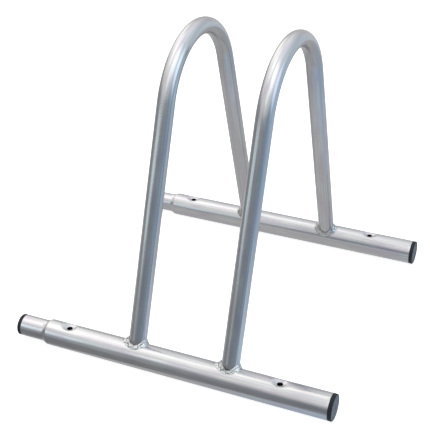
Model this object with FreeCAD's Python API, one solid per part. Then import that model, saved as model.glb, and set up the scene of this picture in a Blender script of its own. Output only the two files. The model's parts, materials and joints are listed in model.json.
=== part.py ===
"""One-place floor bicycle stand: two ground rails, two welded hoops and four push-in tube ends.

Millimetres. +Z is up and z = 0 is the ground. X runs along the rails, with their spigots at -X and their
sockets at +X. Y runs from the front rail to the rear one. The origin is the middle of the footprint.
"""

import FreeCAD, Part
import math
import os

V = FreeCAD.Vector

# Ground rails: round tube, swaged at one end so that it enters the next stand's rail
RAIL_OD = 40.0
RAIL_WALL = 3.0
RAIL_SPACING = 460.0
RAIL_BODY_LENGTH = 454.5
SWAGE_LENGTH = 12.0
SPIGOT_LENGTH = 35.5
SPIGOT_CLEARANCE = 0.5

# Anchor holes: drilled through both walls at the bottom of a dimple pressed into the top
ANCHOR_HOLE_DIAMETER = 8.5
ANCHOR_FROM_SHOULDER = 33.5
ANCHOR_FROM_MOUTH = 77.0
DIMPLE_DEPTH = 4.8
DIMPLE_PUNCH_RADIUS = 26.0
DIMPLE_RIM_RADIUS = 9.0

# Hoops: round tube with two leaning legs and one bend
HOOP_OD = 27.0
HOOP_WALL = 2.5
HOOP_HEIGHT = 473.0
HOOP_BEND_RADIUS = 114.0
HOOP_SPACING = 151.0
HOOPS_FROM_SHOULDER = 223.0

# Fillet welds where the coped feet stand on the rails
WELD_LEG = 6.5
WELD_TAPER_DEGREES = 11.0
WELD_CROWN_SHARE = 0.8

# Push-in ends: a head the size of the tube, and a hollow barbed insert
CAP_HEAD = 6.5
PLUG_HEAD = 6.5
HEAD_EDGE_RADIUS = 1.5
HEAD_SETBACK = 0.4
INSERT_LENGTH = 22.0
INSERT_CLEARANCE = 0.05
INSERT_WALL = 2.0
BARB_COUNT = 4
BARB_HEIGHT = 1.6
BARB_TIP = 1.2
FLOOR_THICKNESS = 2.5

# Modelling allowances: how far a cutter runs past what it cuts, and how near counts as on a surface
OVERRUN = 1.0
ON_SURFACE = 0.001

# Sizes that follow from the ones above
RAIL_R = RAIL_OD / 2
BORE_R = RAIL_R - RAIL_WALL
SPIGOT_R = BORE_R - SPIGOT_CLEARANCE
SPIGOT_BORE_R = SPIGOT_R - RAIL_WALL
HOOP_R = HOOP_OD / 2
HOOP_BORE_R = HOOP_R - HOOP_WALL
OVERALL_LENGTH = CAP_HEAD + SPIGOT_LENGTH + SWAGE_LENGTH + RAIL_BODY_LENGTH + PLUG_HEAD

# Stations along X
SPIGOT_END_X = CAP_HEAD - OVERALL_LENGTH / 2
NECK_X = SPIGOT_END_X + SPIGOT_LENGTH
SHOULDER_X = NECK_X + SWAGE_LENGTH
MOUTH_X = SHOULDER_X + RAIL_BODY_LENGTH
ANCHOR_XS = (SHOULDER_X + ANCHOR_FROM_SHOULDER, MOUTH_X - ANCHOR_FROM_MOUTH)
HOOPS_X = SHOULDER_X + HOOPS_FROM_SHOULDER

RAIL_YS = {"front": -RAIL_SPACING / 2, "rear": RAIL_SPACING / 2}
HOOP_XS = {"left": HOOPS_X - HOOP_SPACING / 2, "right": HOOPS_X + HOOP_SPACING / 2}

# The hoop's bend centre, and the lean of a leg that runs from a rail's axis to touch the bend
BEND_Z = HOOP_HEIGHT - HOOP_R - HOOP_BEND_RADIUS
FOOT_TO_BEND = math.hypot(RAIL_SPACING / 2, BEND_Z - RAIL_R)
LEG_LEAN = math.atan2(RAIL_SPACING / 2, BEND_Z - RAIL_R) - math.asin(HOOP_BEND_RADIUS / FOOT_TO_BEND)
LEG_LENGTH = math.sqrt(FOOT_TO_BEND**2 - HOOP_BEND_RADIUS**2)


def polyline(points):
    """Straight edges through the points."""
    return [Part.LineSegment(a, b).toShape() for a, b in zip(points, points[1:])]


def arc(start, middle, end):
    """A circular edge through three points."""
    return Part.Arc(start, middle, end).toShape()


def turned(edges, y):
    """The solid turned about the axis of the rail at y from a closed half profile."""
    profile = Part.Face(Part.Wire(edges))
    return profile.revolve(V(0, y, RAIL_R), V(1, 0, 0), 360)


def swage_curve(station, small_r, large_r, inset):
    """The neck's S-curve: two tangent arcs, set in from the outer skin by inset.

    The outer arcs have one radius. Setting in makes the hollow one larger and the round one smaller, so the
    wall keeps its thickness all the way down the neck.
    """
    rise = large_r - small_r
    radius = (SWAGE_LENGTH**2 + rise**2) / (4 * rise)
    sweep = math.asin(SWAGE_LENGTH / (2 * radius))
    hollow = radius + inset
    round_ = radius - inset

    def on_hollow(angle):
        return station(NECK_X + hollow * math.sin(angle), small_r + radius - hollow * math.cos(angle))

    def on_round(angle):
        return station(SHOULDER_X - round_ * math.sin(angle), large_r - radius + round_ * math.cos(angle))

    return [
        arc(on_hollow(0), on_hollow(sweep / 2), on_hollow(sweep)),
        arc(on_round(sweep), on_round(sweep / 2), on_round(0)),
    ]


def rail_blank(y, inset, overrun):
    """The rail's outer body, or with an inset and an overrun at both ends the space inside it."""

    def station(x, r):
        return V(x, y, RAIL_R + r)

    small = SPIGOT_R - inset
    large = RAIL_R - inset
    left = SPIGOT_END_X - overrun
    right = MOUTH_X + overrun
    edges = polyline([station(left, 0), station(left, small), station(NECK_X, small)])
    edges += swage_curve(station, SPIGOT_R, RAIL_R, inset)
    edges += polyline([station(SHOULDER_X, large), station(right, large), station(right, 0), station(left, 0)])
    return turned(edges, y)


def punch_centre(x, y):
    """Where the punch's round nose is centred when a dimple is at its full depth."""
    return V(x, y, RAIL_OD - DIMPLE_DEPTH + DIMPLE_PUNCH_RADIUS)


def punch(x, y, growth):
    """The round-nosed punch that presses a dimple, grown by the wall for the inside of the dimple."""
    return Part.makeSphere(DIMPLE_PUNCH_RADIUS + growth, punch_centre(x, y))


def middle_of(edge):
    """The point halfway along an edge."""
    return edge.valueAt((edge.FirstParameter + edge.LastParameter) / 2)


def from_rail_axis(point, y):
    """How far a point is from the axis of the rail at y."""
    return math.hypot(point.y - y, point.z - RAIL_R)


def dimpled(blank, y):
    """The blank with both dimples pressed in and their rims rounded over."""
    pressed = blank.cut([punch(x, y, 0) for x in ANCHOR_XS])
    rims = []
    for edge in pressed.Edges:
        middle = middle_of(edge)
        nose = min(middle.distanceToPoint(punch_centre(x, y)) for x in ANCHOR_XS)
        on_punch = abs(nose - DIMPLE_PUNCH_RADIUS) < ON_SURFACE
        on_tube = abs(from_rail_axis(middle, y) - RAIL_R) < ON_SURFACE
        if on_punch and on_tube:
            rims.append(edge)
    return pressed.makeFillet(DIMPLE_RIM_RADIUS, rims)


def rail(y):
    """One ground rail: swaged tube with two dimpled anchor holes."""
    inside = rail_blank(y, RAIL_WALL, OVERRUN).cut([punch(x, y, RAIL_WALL) for x in ANCHOR_XS])
    holes = [Part.makeCylinder(ANCHOR_HOLE_DIAMETER / 2, RAIL_OD, V(x, y, 0)) for x in ANCHOR_XS]
    return dimpled(rail_blank(y, 0, 0), y).cut(inside).cut(holes)


def rail_bar(y, growth):
    """A plain round bar on a rail's axis, larger than the rail by growth."""
    return Part.makeCylinder(RAIL_R + growth, RAIL_BODY_LENGTH, V(SHOULDER_X, y, RAIL_R), V(1, 0, 0))


def leg_direction(y):
    """The way up a leg that stands on the rail at y: it leans towards the middle."""
    return V(0, -math.copysign(math.sin(LEG_LEAN), y), math.cos(LEG_LEAN))


def bent_bar(x, radius):
    """A round bar along the hoop's centre line, from one rail's axis over the bend to the other."""
    foot = V(x, RAIL_YS["front"], RAIL_R)
    up = leg_direction(foot.y)
    section = Part.Face(Part.Wire(Part.makeCircle(radius, foot, up)))
    front_leg = section.extrude(up * LEG_LENGTH)
    rear_leg = front_leg.mirror(V(x, 0, 0), V(0, 1, 0))
    section.translate(up * LEG_LENGTH)
    bend = section.revolve(V(x, 0, BEND_Z), V(-1, 0, 0), 180 - 2 * math.degrees(LEG_LEAN))
    return front_leg.fuse([bend, rear_leg]).removeSplitter()


def hoop(x):
    """One hoop: bent tube with its feet coped to sit on the rails."""
    tube = bent_bar(x, HOOP_R).cut(bent_bar(x, HOOP_BORE_R))
    return tube.cut([rail_bar(y, 0) for y in RAIL_YS.values()])


def weld(x, y):
    """The fillet bead round one foot, against the leg and the rail, with a rounded crown.

    Its outside tapers down the rail's flanks, where the toe of the bead would otherwise run too far.
    """
    foot = V(x, y, RAIL_R)
    up = leg_direction(y)
    spread = math.tan(math.radians(WELD_TAPER_DEGREES))

    def outer_r(height):
        return HOOP_R + WELD_LEG + (height - RAIL_R) * spread

    outside = Part.makeCone(outer_r(0), outer_r(RAIL_OD), RAIL_OD, foot, up)
    leg = Part.makeCylinder(HOOP_R, RAIL_OD, foot, up)
    ring = outside.common(rail_bar(y, WELD_LEG)).cut([rail_bar(y, 0), leg])
    crown = []
    for edge in ring.Edges:
        arm = middle_of(edge) - foot
        on_outside = abs(arm.cross(up).Length - outer_r(arm.dot(up))) < ON_SURFACE
        on_top = abs(from_rail_axis(middle_of(edge), y) - RAIL_R - WELD_LEG) < ON_SURFACE
        if on_outside and on_top:
            crown.append(edge)
    return ring.makeFillet(WELD_LEG * WELD_CROWN_SHARE, crown)


def push_in_end(y, end_x, outward, head, tube_r, bore_r):
    """A moulded tube end: a rounded head against the tube's end, and a hollow barbed insert in its bore.

    outward is +1 where the head faces +X and -1 where it faces -X. The head is set back a little from the
    tube's outside, so that what slides over the tube clears it.
    """

    def station(s, r):
        return V(end_x + outward * s, y, RAIL_R + r)

    head_r = tube_r - HEAD_SETBACK
    barb_r = bore_r - INSERT_CLEARANCE
    core_r = barb_r - BARB_HEIGHT
    cavity_r = core_r - INSERT_WALL
    pitch = INSERT_LENGTH / BARB_COUNT
    corner = HEAD_EDGE_RADIUS * (1 - math.sqrt(0.5))
    edges = polyline([station(head, 0), station(head, head_r - HEAD_EDGE_RADIUS)])
    edges.append(
        arc(
            station(head, head_r - HEAD_EDGE_RADIUS),
            station(head - corner, head_r - corner),
            station(head - HEAD_EDGE_RADIUS, head_r),
        )
    )
    outline = [station(head - HEAD_EDGE_RADIUS, head_r), station(0, head_r), station(0, core_r)]
    for barb in range(BARB_COUNT):
        back = -(barb + 1) * pitch
        outline.append(station(back + pitch / 2, core_r))
        outline.append(station(back + pitch / 2, barb_r))
        outline.append(station(back + pitch / 2 - BARB_TIP, barb_r))
        outline.append(station(back, core_r))
    outline.append(station(-INSERT_LENGTH, cavity_r))
    outline.append(station(head - FLOOR_THICKNESS, cavity_r))
    outline.append(station(head - FLOOR_THICKNESS, 0))
    outline.append(station(head, 0))
    return turned(edges + polyline(outline), y)


def build():
    """Every piece of the stand, by name."""
    pieces = {}
    for row, y in RAIL_YS.items():
        pieces[f"{row}_rail"] = rail(y)
        pieces[f"{row}_spigot_cap"] = push_in_end(y, SPIGOT_END_X, -1, CAP_HEAD, SPIGOT_R, SPIGOT_BORE_R)
        pieces[f"{row}_socket_plug"] = push_in_end(y, MOUTH_X, 1, PLUG_HEAD, RAIL_R, BORE_R)
        for side, x in HOOP_XS.items():
            pieces[f"weld_{row}_{side}"] = weld(x, y)
    for side, x in HOOP_XS.items():
        pieces[f"{side}_hoop"] = hoop(x)
    return pieces


os.makedirs("parts", exist_ok=True)
for name, shape in build().items():
    solids = shape.Solids
    print(f"{name}: {len(solids)} solid, valid {shape.isValid()}, {shape.Volume / 1000:.2f} cm3")
    solids[0].exportStep(f"parts/{name}.step")
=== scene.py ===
"""Looks of a one-place floor bicycle stand: zinc-plated tube, uneven weld beads and moulded tube ends.

Metres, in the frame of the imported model: X along the rails, Y from the front rail to the rear one, Z up.
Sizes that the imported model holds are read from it, and the others are fields of the class that uses them.
"""

import json
import logging
import math
from dataclasses import dataclass
from enum import Enum
from typing import Any, ClassVar, Sequence

import bpy
from mathutils import Matrix, Vector


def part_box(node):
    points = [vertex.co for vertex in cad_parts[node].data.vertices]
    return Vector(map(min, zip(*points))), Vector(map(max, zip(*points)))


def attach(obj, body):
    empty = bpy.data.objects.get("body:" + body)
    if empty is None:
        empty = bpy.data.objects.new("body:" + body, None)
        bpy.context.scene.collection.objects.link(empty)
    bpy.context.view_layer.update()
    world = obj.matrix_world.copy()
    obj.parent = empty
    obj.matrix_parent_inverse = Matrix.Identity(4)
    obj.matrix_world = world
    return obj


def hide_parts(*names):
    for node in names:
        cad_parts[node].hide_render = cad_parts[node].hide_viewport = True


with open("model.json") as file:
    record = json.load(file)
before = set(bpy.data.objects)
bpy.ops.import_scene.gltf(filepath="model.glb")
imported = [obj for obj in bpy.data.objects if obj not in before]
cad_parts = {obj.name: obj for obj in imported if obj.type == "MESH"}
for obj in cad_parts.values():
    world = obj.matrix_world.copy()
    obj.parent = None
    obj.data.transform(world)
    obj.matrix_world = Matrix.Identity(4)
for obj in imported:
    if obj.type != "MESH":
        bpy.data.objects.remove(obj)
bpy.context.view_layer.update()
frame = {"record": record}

LOG = logging.getLogger("bicycle_stand")
MM = 0.001
WELDED_FRAME = "welded_frame"
TUBE_SPACE = "tube_space"
PAINTED_SHADE = "bare_steel"
CREASE_SHADE = "soot"
Limits = dict[str, float]

ATTRIBUTE = "GeometryNodeInputNamedAttribute"
MAP_RANGE = "ShaderNodeMapRange"
MATH = "ShaderNodeMath"
MIX = "ShaderNodeMix"
NOISE = "ShaderNodeTexNoise"
VECTOR_MATH = "ShaderNodeVectorMath"


class Row(Enum):
    """The two rails, by the side of the stand that they are on."""

    FRONT = "front"
    REAR = "rear"


class Side(Enum):
    """The two hoops, by the side of the stand that they are on."""

    LEFT = "left"
    RIGHT = "right"


class TubeEnd(Enum):
    """The two kinds of rail end that a moulding closes."""

    SPIGOT = "spigot_cap"
    SOCKET = "socket_plug"


class Slot(Enum):
    """The record's material slots."""

    TUBE = "zinc_plated_tube"
    BEAD = "weld_metal"
    PLASTIC = "black_plastic"


def linear(code: str) -> tuple[float, float, float, float]:
    """Turns an sRGB hex colour to linear light.

    Args:
        code: The colour as "#rrggbb".

    Returns:
        Linear red, green, blue and an alpha of 1.
    """
    shares = [int(code[i : i + 2], 16) / 255 for i in (1, 3, 5)]
    light = [s / 12.92 if s <= 0.04045 else ((s + 0.055) / 1.055) ** 2.4 for s in shares]
    return (*light, 1.0)


def add_node(
    tree: bpy.types.NodeTree, kind: str, feeds: dict | None = None, **settings: Any
) -> bpy.types.Node:
    """Adds a node, sets its properties and fills its inputs.

    Args:
        tree: The tree that gets the node.
        kind: The node's type.
        feeds: For an input's name or number, what fills it: a node's first output, a socket or a value.
        settings: The node's own properties.

    Returns:
        The new node.
    """
    node = tree.nodes.new(kind)
    for name, value in settings.items():
        setattr(node, name, value)
    for key, value in (feeds or {}).items():
        if isinstance(value, bpy.types.Node):
            value = next(socket for socket in value.outputs if socket.enabled)
        if isinstance(value, bpy.types.NodeSocket):
            tree.links.new(value, node.inputs[key])
        else:
            node.inputs[key].default_value = value
    return node


def new_object(name: str, mesh: bpy.types.Mesh) -> bpy.types.Object:
    """Puts a mesh in the scene as an object at the origin.

    Args:
        name: The object's name.
        mesh: Its mesh, with its place in its vertices.

    Returns:
        The object.
    """
    obj = bpy.data.objects.new(name, mesh)
    bpy.context.scene.collection.objects.link(obj)
    return obj


def new_mesh(
    name: str, points: Sequence[Vector], faces: Sequence[Sequence[int]], edges: Sequence[Sequence[int]] = ()
) -> bpy.types.Mesh:
    """Makes a smooth-shaded mesh.

    Args:
        name: The mesh's name.
        points: Where its vertices are.
        faces: Its faces, as numbers of points.
        edges: Its edges that belong to no face, as numbers of points.

    Returns:
        The mesh.
    """
    mesh = bpy.data.meshes.new(name)
    mesh.from_pydata([tuple(point) for point in points], edges, faces)
    mesh.shade_smooth()
    mesh.update()
    return mesh


def settle(obj: bpy.types.Object) -> None:
    """Turns what an object's modifiers make into its own plain mesh, and removes them.

    Args:
        obj: The object.
    """
    graph = bpy.context.evaluated_depsgraph_get()
    made = bpy.data.meshes.new_from_object(
        obj.evaluated_get(graph), preserve_all_data_layers=True, depsgraph=graph
    )
    obj.modifiers.clear()
    before = obj.data
    obj.data = made
    bpy.data.meshes.remove(before)


def drop_attributes(obj: bpy.types.Object, names: Sequence[str]) -> None:
    """Removes the values that a mesh's points carried for its tree alone.

    Args:
        obj: The object whose mesh it is.
        names: What the values are called.
    """
    for name in names:
        attribute = obj.data.attributes.get(name)
        if attribute and not attribute.is_required:
            obj.data.attributes.remove(attribute)


def carry(mesh: bpy.types.Mesh, name: str, values: Sequence[Vector] | Sequence[float]) -> None:
    """Lets the points of a mesh carry values.

    Args:
        mesh: The mesh.
        name: What the values are called.
        values: One value for each point.
    """
    is_vector = isinstance(values[0], Vector)
    kind, field = ("FLOAT_VECTOR", "vector") if is_vector else ("FLOAT", "value")
    attribute = mesh.attributes.new(name, kind, "POINT")
    for item, value in zip(attribute.data, values):
        setattr(item, field, value)


def direction(azimuth: float, elevation: float) -> Vector:
    """The way to a place in the surroundings.

    Args:
        azimuth: Degrees from straight in front of the stand, to the right.
        elevation: Degrees above the floor.

    Returns:
        A vector of length 1.
    """
    turn = math.radians(azimuth)
    tilt = math.radians(elevation)
    return Vector((math.sin(turn) * math.cos(tilt), -math.cos(turn) * math.cos(tilt), math.sin(tilt)))


def eased(share: float) -> float:
    """A share kept between 0 and 1, with a soft start and end."""
    share = min(max(share, 0.0), 1.0)
    return share**2 * (3 - 2 * share)


def new_material(name: str) -> tuple[bpy.types.Material, bpy.types.NodeTree, bpy.types.Node]:
    """Makes a material.

    Args:
        name: Its name.

    Returns:
        The material, its tree and its shader.
    """
    material = bpy.data.materials.new(name)
    material.use_nodes = True
    return material, material.node_tree, material.node_tree.nodes["Principled BSDF"]


def turned_mesh(
    name: str, profile: Sequence[tuple[float, float]], place: Matrix, sides: int, closed: bool = False
) -> bpy.types.Mesh:
    """Turns a half profile about the local X axis.

    Args:
        name: The mesh's name.
        profile: Points as distance along the axis and radius, clockwise with the axis to the right.
        place: Where the local axes stand.
        sides: Facets round the axis.
        closed: True if the profile is a loop that doesn't touch the axis.

    Returns:
        A closed mesh, with one vertex where the profile touches the axis.
    """
    points: list[Vector] = []
    rings: list[list[int]] = []
    for along, radius in profile:
        first = len(points)
        if radius == 0:
            points.append(place @ Vector((along, 0, 0)))
            rings.append([first] * sides)
            continue
        for side in range(sides):
            turn = math.tau * side / sides
            points.append(place @ Vector((along, radius * math.sin(turn), radius * math.cos(turn))))
        rings.append(list(range(first, first + sides)))
    if closed:
        rings.append(rings[0])
    faces = []
    for ring, after in zip(rings, rings[1:]):
        for side in range(sides):
            beside = (side + 1) % sides
            corners = (ring[side], after[side], after[beside], ring[beside])
            faces.append(tuple(dict.fromkeys(corners)))
    return new_mesh(name, points, faces)


class ShapeTree:
    """A Geometry Nodes tree with named inputs that ends in one plain, painted mesh."""

    def __init__(self, name: str, inputs: dict[str, str]) -> None:
        """Makes the tree's sockets.

        Args:
            name: The tree's name.
            inputs: Each input's name and the kind of socket it is.
        """
        self.tree = bpy.data.node_groups.new(name, "GeometryNodeTree")
        sockets = {"Geometry": "Geometry", **inputs, "Material": "Material"}
        for label, kind in sockets.items():
            self.tree.interface.new_socket(label, in_out="INPUT", socket_type=f"NodeSocket{kind}")
        self.tree.interface.new_socket("Geometry", in_out="OUTPUT", socket_type="NodeSocketGeometry")
        self.inputs = self.tree.nodes.new("NodeGroupInput").outputs

    def end(self, geometry: bpy.types.Node) -> None:
        """Ends the tree: instances made real, material set, mesh put out.

        Args:
            geometry: The node that makes the finished shape.
        """
        real = add_node(self.tree, "GeometryNodeRealizeInstances", {"Geometry": geometry})
        feeds = {"Geometry": real, "Material": self.inputs["Material"]}
        painted = add_node(self.tree, "GeometryNodeSetMaterial", feeds)
        add_node(self.tree, "NodeGroupOutput", {"Geometry": painted})

    def put_on(self, obj: bpy.types.Object, values: dict[str, Any]) -> None:
        """Puts the tree on an object.

        Args:
            obj: The object whose mesh goes in.
            values: Each input's name and value.
        """
        modifier = obj.modifiers.new(self.tree.name, "NODES")
        modifier.node_group = self.tree
        for item in self.tree.interface.items_tree:
            if item.in_out == "INPUT" and item.name in values:
                modifier[item.identifier] = values[item.name]


@dataclass(frozen=True)
class StandLayout:
    """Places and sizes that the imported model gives."""

    rail_y: dict[Row, float]
    rail_r: float
    spigot_r: float
    spigot_end_x: float
    neck_x: float
    mouth_x: float
    anchor_xs: tuple[float, float]
    anchor_r: float
    head: float
    hoop_x: dict[Side, float]
    hoop_r: float
    hoop_top: float

    @classmethod
    def from_frame(cls, record: dict) -> "StandLayout":
        """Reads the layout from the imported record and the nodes' boxes.

        Args:
            record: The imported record.

        Returns:
            The layout.
        """
        tenth_of_mm = 4
        mounts = {mount["name"]: mount for mount in record["mounts"]}
        spigot = mounts["front_spigot"]
        length = spigot["dims"]["length_mm"] * MM
        anchors = mounts["ground_anchors"]
        half = anchors["dims"]["spacing_x_mm"] * MM / 2
        mouth_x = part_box("front_rail")[1].x
        hoops = {side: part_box(f"{side.value}_hoop") for side in Side}
        low, high = hoops[Side.LEFT]
        return cls(
            rail_y={row: mounts[f"{row.value}_spigot"]["pos_m"][1] for row in Row},
            rail_r=spigot["pos_m"][2],
            spigot_r=spigot["dims"]["r_mm"] * MM,
            spigot_end_x=spigot["pos_m"][0] - length / 2,
            neck_x=spigot["pos_m"][0] + length / 2,
            mouth_x=round(mouth_x, tenth_of_mm),
            anchor_xs=(anchors["pos_m"][0] - half, anchors["pos_m"][0] + half),
            anchor_r=anchors["dims"]["hole_r_mm"] * MM,
            head=round(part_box("front_socket_plug")[1].x - mouth_x, tenth_of_mm),
            hoop_x={side: round((box[0].x + box[1].x) / 2, tenth_of_mm) for side, box in hoops.items()},
            hoop_r=round((high.x - low.x) / 2, tenth_of_mm),
            hoop_top=round(high.z, tenth_of_mm),
        )


@dataclass(frozen=True)
class ZincPlatedTube:
    """Bright zinc plated on cold-drawn steel tube.

    Drawing leaves fine lines along the tube, which break a reflection into lengthwise streaks. The plating
    gives a satin sheen, a little duller in cloudy patches, with a faint lilac haze and a few dark pinholes.
    Inside a bend it is darkened with painted shade, and the bore and the holes are painted dark as shade.
    """

    name: str = "zinc_plated_drawn_steel_tube"
    bright: str = "#d6d6d5"
    dull: str = "#c3c6ca"
    haze: str = "#cac6cd"
    pinhole: str = "#3c4046"
    # Colour of the painted shade in the bore, the holes and inside a bend
    painted_shade_colour: str = "#43454a"
    clear_roughness: float = 0.19
    cloudy_roughness: float = 0.25
    draw_line_width: float = 3.0 * MM
    draw_line_length: float = 260 * MM
    draw_line_height: float = 0.045 * MM
    draw_line_detail: float = 3.0
    cloud_size: float = 45 * MM
    haze_width: float = 13 * MM
    haze_length: float = 45 * MM
    haze_detail: float = 2.0
    pinhole_spacing: float = 34 * MM
    pinhole_radius: float = 1.0 * MM
    pinhole_core: float = 0.4
    STREAK_LIMITS: ClassVar[Limits] = {"From Min": 0.36, "From Max": 0.62}
    HAZE_LIMITS: ClassVar[Limits] = {"From Min": 0.42, "From Max": 0.68}
    CLOUD_LIMITS: ClassVar[Limits] = {"From Min": 0.35, "From Max": 0.65}

    def material(self) -> bpy.types.Material:
        """Makes the material.

        Returns:
            The material, whose patterns lie along the straight tube before it was bent.
        """
        material, tree, shader = new_material(self.name)
        shader.inputs["Metallic"].default_value = 1.0
        tube = add_node(tree, "ShaderNodeAttribute", attribute_name=TUBE_SPACE).outputs["Vector"]
        # Draw lines are far finer on the tube, and are drawn as wide as they need to be to show
        patterns = []
        for length, width, detail in (
            (self.draw_line_length, self.draw_line_width, self.draw_line_detail),
            (self.haze_length, self.haze_width, self.haze_detail),
        ):
            per_metre = (1 / length, 1 / width, 1 / width)
            stretched = add_node(tree, VECTOR_MATH, {0: tube, 1: per_metre}, operation="MULTIPLY")
            patterns.append(add_node(tree, NOISE, {"Vector": stretched, "Scale": 1.0, "Detail": detail}))
        lines, patches = patterns
        feeds = {"Height": lines, "Distance": self.draw_line_height, "Strength": 1.0}
        bump = add_node(tree, "ShaderNodeBump", feeds)
        tree.links.new(bump.outputs["Normal"], shader.inputs["Normal"])

        streaks = add_node(tree, MAP_RANGE, {"Value": lines} | self.STREAK_LIMITS)
        hazy = add_node(tree, MAP_RANGE, {"Value": patches} | self.HAZE_LIMITS)
        cells = add_node(tree, "ShaderNodeTexVoronoi", {"Vector": tube, "Scale": 1 / self.pinhole_spacing})
        edge = self.pinhole_radius / self.pinhole_spacing
        feeds = {"Value": cells, "From Min": edge, "From Max": edge * self.pinhole_core}
        spots = add_node(tree, MAP_RANGE, feeds)
        # Painted shade: the bore, the hole walls and the inside of a bend are darkened to stand in for
        # shade
        painted_shade_share = add_node(tree, "ShaderNodeAttribute", attribute_name=PAINTED_SHADE).outputs["Fac"]
        layers = ((streaks, self.bright), (hazy, self.haze), (spots, self.pinhole), (painted_shade_share, self.painted_shade_colour))
        colour = linear(self.dull)
        for share, layer in layers:
            feeds = {"Factor": share, "A": colour, "B": linear(layer)}
            colour = add_node(tree, MIX, feeds, data_type="RGBA")
        tree.links.new(colour.outputs["Result"], shader.inputs["Base Color"])
        clouds = add_node(tree, NOISE, {"Vector": tube, "Scale": 1 / self.cloud_size, "Detail": 2.0})
        feeds = {"Value": clouds, "To Min": self.clear_roughness, "To Max": self.cloudy_roughness}
        rough = add_node(tree, MAP_RANGE, feeds | self.CLOUD_LIMITS)
        tree.links.new(rough.outputs["Result"], shader.inputs["Roughness"])
        return material


@dataclass(frozen=True)
class PlatedWeldMetal:
    """Arc-weld metal under the same zinc plating.

    Solid metal catches the light like the tube does, while slag pits stay dark, and painted shade darkens
    the valleys between the weld passes and the crease along the leg.
    """

    name: str = "zinc_plated_weld_metal"
    crest: str = "#d6d6d5"
    pit: str = "#8d9197"
    # Colour of the painted shade in the weld's valleys and in the crease along the leg
    soot: str = "#474a4f"
    roughness: float = 0.17
    pit_size: float = 3.2 * MM
    pit_depth: float = 0.12 * MM
    PIT_LIMITS: ClassVar[Limits] = {"From Min": 0.3, "From Max": 0.45}

    def material(self) -> bpy.types.Material:
        """Makes the material.

        Returns:
            The material, with its pits in the object's own space.
        """
        material, tree, shader = new_material(self.name)
        shader.inputs["Metallic"].default_value = 1.0
        shader.inputs["Roughness"].default_value = self.roughness
        place = add_node(tree, "ShaderNodeTexCoord").outputs["Object"]
        pits = add_node(tree, NOISE, {"Vector": place, "Scale": 1 / self.pit_size, "Detail": 2.0})
        solid = add_node(tree, MAP_RANGE, {"Value": pits} | self.PIT_LIMITS)
        # Painted shade: the valleys between passes and the crease along the leg are darkened
        crease_shading = add_node(tree, "ShaderNodeAttribute", attribute_name=CREASE_SHADE).outputs["Fac"]
        colour = linear(self.pit)
        for share, layer in ((solid, self.crest), (crease_shading, self.soot)):
            feeds = {"Factor": share, "A": colour, "B": linear(layer)}
            colour = add_node(tree, MIX, feeds, data_type="RGBA")
        tree.links.new(colour.outputs["Result"], shader.inputs["Base Color"])
        feeds = {"Height": solid, "Distance": self.pit_depth, "Strength": 1.0}
        bump = add_node(tree, "ShaderNodeBump", feeds)
        tree.links.new(bump.outputs["Normal"], shader.inputs["Normal"])
        return material


@dataclass(frozen=True)
class MouldedPolyethylene:
    """Black polyethylene, injection moulded in a spark-eroded tool.

    The tool's fine grain breaks up reflections, so the rim stays black. The end face is painted a lighter
    slate grey, as painted light on the side that looks along the tube, with lighter scuffs in patches.
    """

    name: str = "moulded_black_polyethylene"
    rim: str = "#181b21"
    # Painted light: the end face is lighter than the rim, because of the way the surface faces
    lit_face: str = "#4e535b"
    scuffed: str = "#656a71"
    roughness: float = 0.6
    specular: float = 0.3
    grain: float = 0.7 * MM
    grain_height: float = 0.05 * MM
    scuff_size: float = 6 * MM
    SCUFF_LIMITS: ClassVar[Limits] = {"From Min": 0.48, "From Max": 0.7}
    LIT_FACE_LIMITS: ClassVar[Limits] = {"From Min": 0.75, "From Max": 0.97}

    def material(self) -> bpy.types.Material:
        """Makes the material.

        Returns:
            The material, with its grain in the object's own space.
        """
        material, tree, shader = new_material(self.name)
        shader.inputs["Roughness"].default_value = self.roughness
        shader.inputs["Specular IOR Level"].default_value = self.specular
        place = add_node(tree, "ShaderNodeTexCoord").outputs
        feeds = {"Vector": place["Object"], "Scale": 1 / self.scuff_size, "Detail": 6.0}
        scuffs = add_node(tree, NOISE, feeds)
        worn = add_node(tree, MAP_RANGE, {"Value": scuffs} | self.SCUFF_LIMITS)
        feeds = {"Factor": worn, "A": linear(self.lit_face), "B": linear(self.scuffed)}
        lit_face_colour = add_node(tree, MIX, feeds, data_type="RGBA")
        # The tube's axis is X, so the face is where the surface looks along X, and it gets painted light
        axial = add_node(tree, "ShaderNodeSeparateXYZ", {"Vector": place["Normal"]}).outputs["X"]
        steep = add_node(tree, MATH, {0: axial}, operation="ABSOLUTE")
        lit_face_share = add_node(tree, MAP_RANGE, {"Value": steep} | self.LIT_FACE_LIMITS)
        feeds = {"Factor": lit_face_share, "A": linear(self.rim), "B": lit_face_colour}
        plastic = add_node(tree, MIX, feeds, data_type="RGBA")
        tree.links.new(plastic.outputs["Result"], shader.inputs["Base Color"])
        feeds = {"Vector": place["Object"], "Scale": 1 / self.grain, "Detail": 2.0}
        grain = add_node(tree, NOISE, feeds)
        feeds = {"Height": grain, "Distance": self.grain_height, "Strength": 1.0}
        bump = add_node(tree, "ShaderNodeBump", feeds)
        tree.links.new(bump.outputs["Normal"], shader.inputs["Normal"])
        return material


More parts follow.
